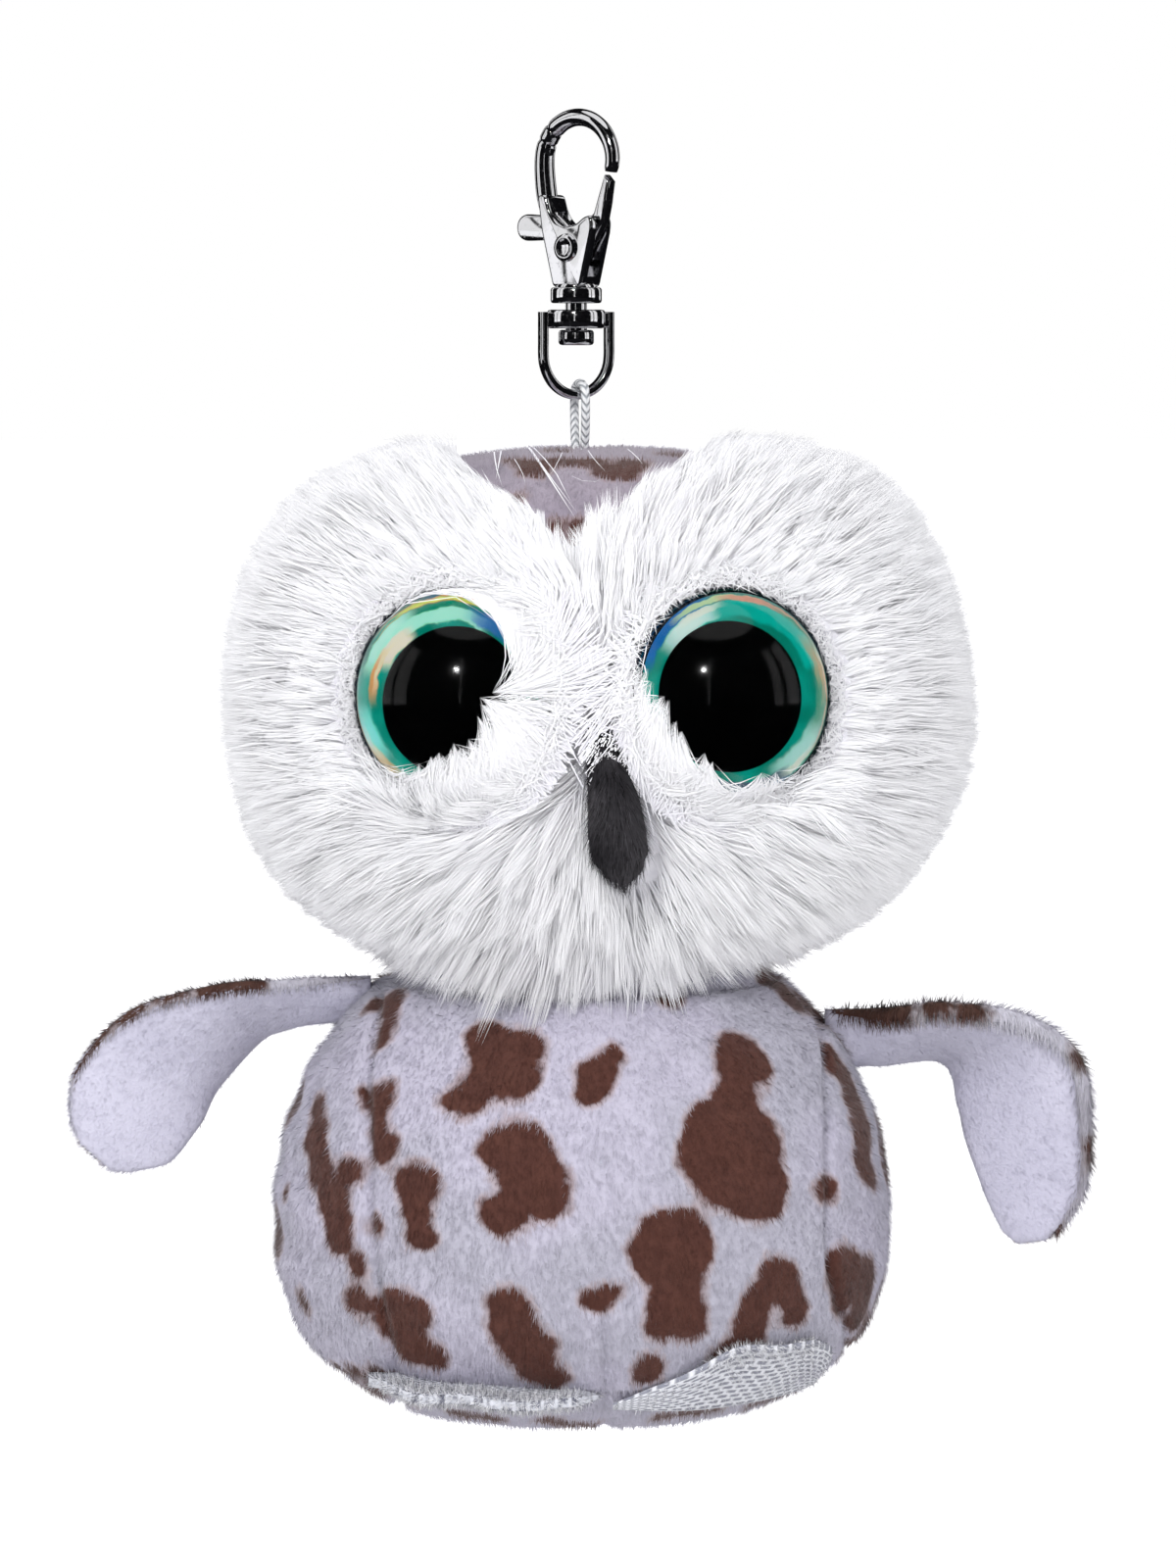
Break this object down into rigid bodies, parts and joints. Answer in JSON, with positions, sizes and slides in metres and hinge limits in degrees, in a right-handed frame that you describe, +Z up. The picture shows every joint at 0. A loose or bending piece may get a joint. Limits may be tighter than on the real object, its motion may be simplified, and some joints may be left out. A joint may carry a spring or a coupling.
{
  "type": "plush owl",
  "caption": "Small stuffed owl with spotted plush body, white long-pile face, domed eyes and felt beak, hung by a cord loop from a swivel lobster clasp.",
  "frame": {"origin": "under the top bend of the hook, where a key ring or a bag loop bears", "axes": "+Z up along the hanging line, the owl faces -Y, +X to the viewer's right"},
  "size_m": [0.1046, 0.062, 0.1333],
  "materials": {
    "chrome_casting": "polished",
    "spring_wire": "satin",
    "white_cord": "matte",
    "stuffing": "matte",
    "bean_fill": "matte",
    "long_pile_fur": "matte",
    "spotted_plush": "matte",
    "lining_plush": "matte",
    "knit_foot": "matte",
    "charcoal_felt": "matte",
    "clear_lens": "gloss",
    "black_pupil": "gloss",
    "iris_foil": "gloss",
    "eye_cup": "gloss",
    "lock_washer": "matte"
  },
  "bodies": {
    "clasp": {"clasp_hook": "chrome_casting", "trigger_rivet": "chrome_casting", "swivel_post": "chrome_casting"},
    "trigger": {"clasp_trigger": "chrome_casting", "trigger_spring": "spring_wire"},
    "eye": {"swivel_eye": "chrome_casting"},
    "cord": {"hang_cord": "white_cord"},
    "toy": {"cord_knot": "white_cord", "head_stuffing": "stuffing", "face_fur_left": "long_pile_fur", "face_fur_right": "long_pile_fur", "crown_gusset": "spotted_plush", "head_back_left": "spotted_plush", "head_back_right": "spotted_plush", "beak": "charcoal_felt", "eye_lens_left": "clear_lens", "eye_pupil_left": "black_pupil", "eye_foil_left": "iris_foil", "eye_cup_left": "eye_cup", "eye_washer_left": "lock_washer", "eye_lens_right": "clear_lens", "eye_pupil_right": "black_pupil", "eye_foil_right": "iris_foil", "eye_cup_right": "eye_cup", "eye_washer_right": "lock_washer", "torso_stuffing": "stuffing", "bean_fill": "bean_fill", "torso_front": "spotted_plush", "torso_side_left": "spotted_plush", "torso_side_right": "spotted_plush", "base_panel": "spotted_plush", "foot_left": "knit_foot", "foot_right": "knit_foot"},
    "wing_left": {"wing_outer_left": "spotted_plush", "wing_lining_left": "lining_plush"},
    "wing_right": {"wing_outer_right": "spotted_plush", "wing_lining_right": "lining_plush"}
  },
  "joints": [
    {"name": "trigger_press", "type": "hinge", "parent": "clasp", "child": "trigger", "pos_m": [0, 0, -0.0123], "axis": [-0.6428, -0.766, 0], "range_deg": [0, 25], "stiffness_Nm_per_rad": 0.005},
    {"name": "swivel", "type": "hinge", "parent": "clasp", "child": "eye", "pos_m": [0, 0, -0.0195], "axis": [0, 0, 1], "continuous": true},
    {"name": "cord_swing", "type": "hinge", "parent": "eye", "child": "cord", "pos_m": [0, 0, -0.02718], "axis": [0.9659, 0.2588, 0], "range_deg": [-60, 60]},
    {"name": "toy_sway", "type": "hinge", "parent": "cord", "child": "toy", "pos_m": [0.00039, 0.0001, -0.0327], "axis": [0, 1, 0], "range_deg": [-25, 25]},
    {"name": "wing_left_lift", "type": "hinge", "parent": "toy", "child": "wing_left", "pos_m": [-0.02806, 0.0024, -0.09062], "axis": [0, 1, 0], "range_deg": [-25, 25], "stiffness_Nm_per_rad": 0.002},
    {"name": "wing_right_lift", "type": "hinge", "parent": "toy", "child": "wing_right", "pos_m": [0.03174, 0.0024, -0.09473], "axis": [0, -1, 0], "range_deg": [-30, 25], "stiffness_Nm_per_rad": 0.002}
  ]
}
